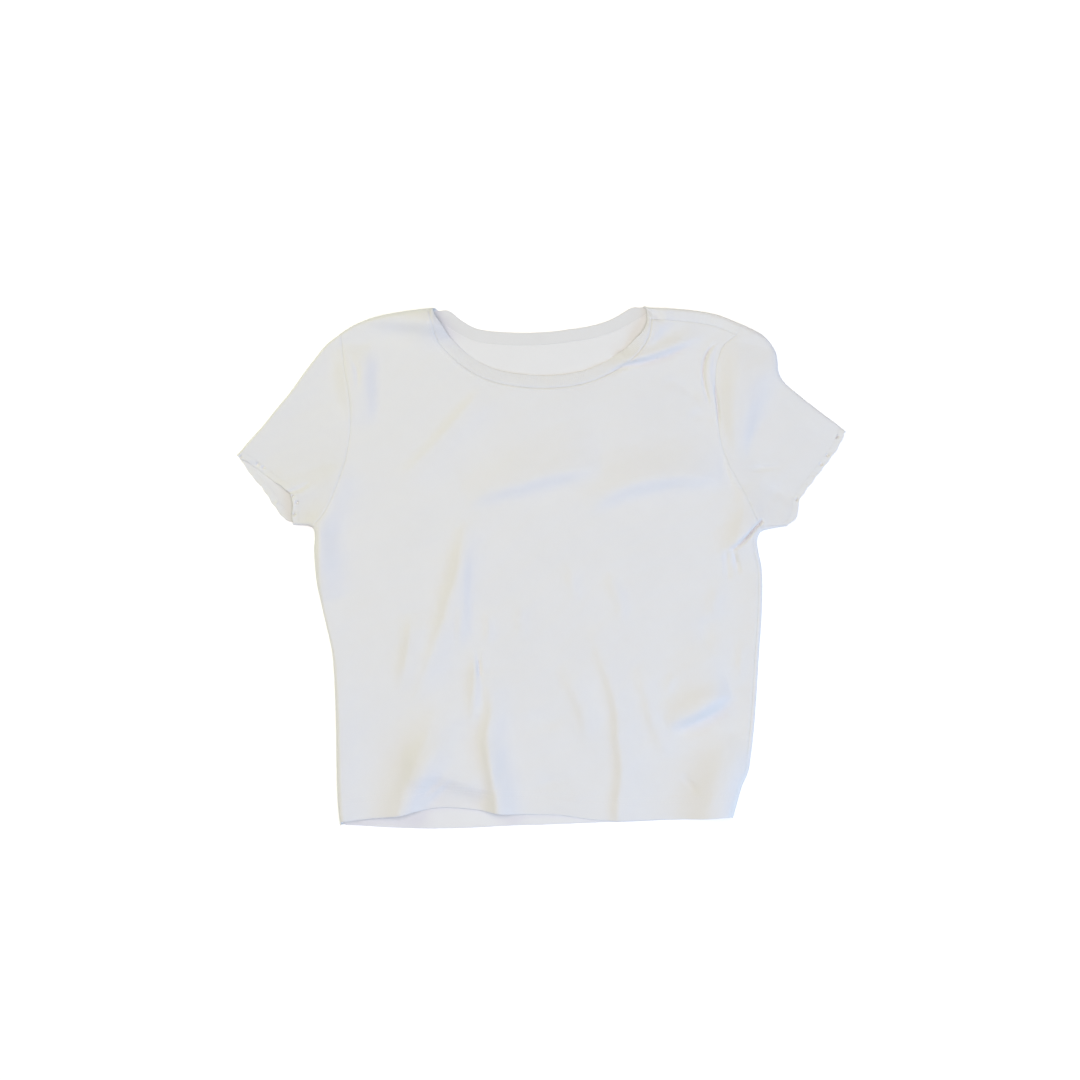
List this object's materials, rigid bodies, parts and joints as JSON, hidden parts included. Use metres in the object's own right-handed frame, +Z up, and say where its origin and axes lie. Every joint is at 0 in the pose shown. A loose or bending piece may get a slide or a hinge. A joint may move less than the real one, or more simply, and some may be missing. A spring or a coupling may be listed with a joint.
{
  "type": "t-shirt laid flat",
  "caption": "Child's cropped T-shirt laid flat, with a round neck and ribbed neckband, short set-in sleeves, and a narrow gathered edging on each cuff.",
  "frame": {"origin": "middle of the laid shirt's outline, on the surface that it lies on", "axes": "+Z up out of the front panel, +Y towards the neck, +X towards the wearer's left sleeve"},
  "size_m": [0.5114, 0.4376, 0.0124],
  "materials": {
    "jersey": "fine white cotton jersey",
    "rib": "fine white rib knit",
    "edging": "white overlocked edging"
  },
  "bodies": {
    "root": {"back": "jersey", "front": "jersey", "sleeve_right": "jersey", "sleeve_left": "jersey", "neckband": "rib", "sleeve_edging_right": "edging", "sleeve_edging_left": "edging"}
  },
  "joints": []
}
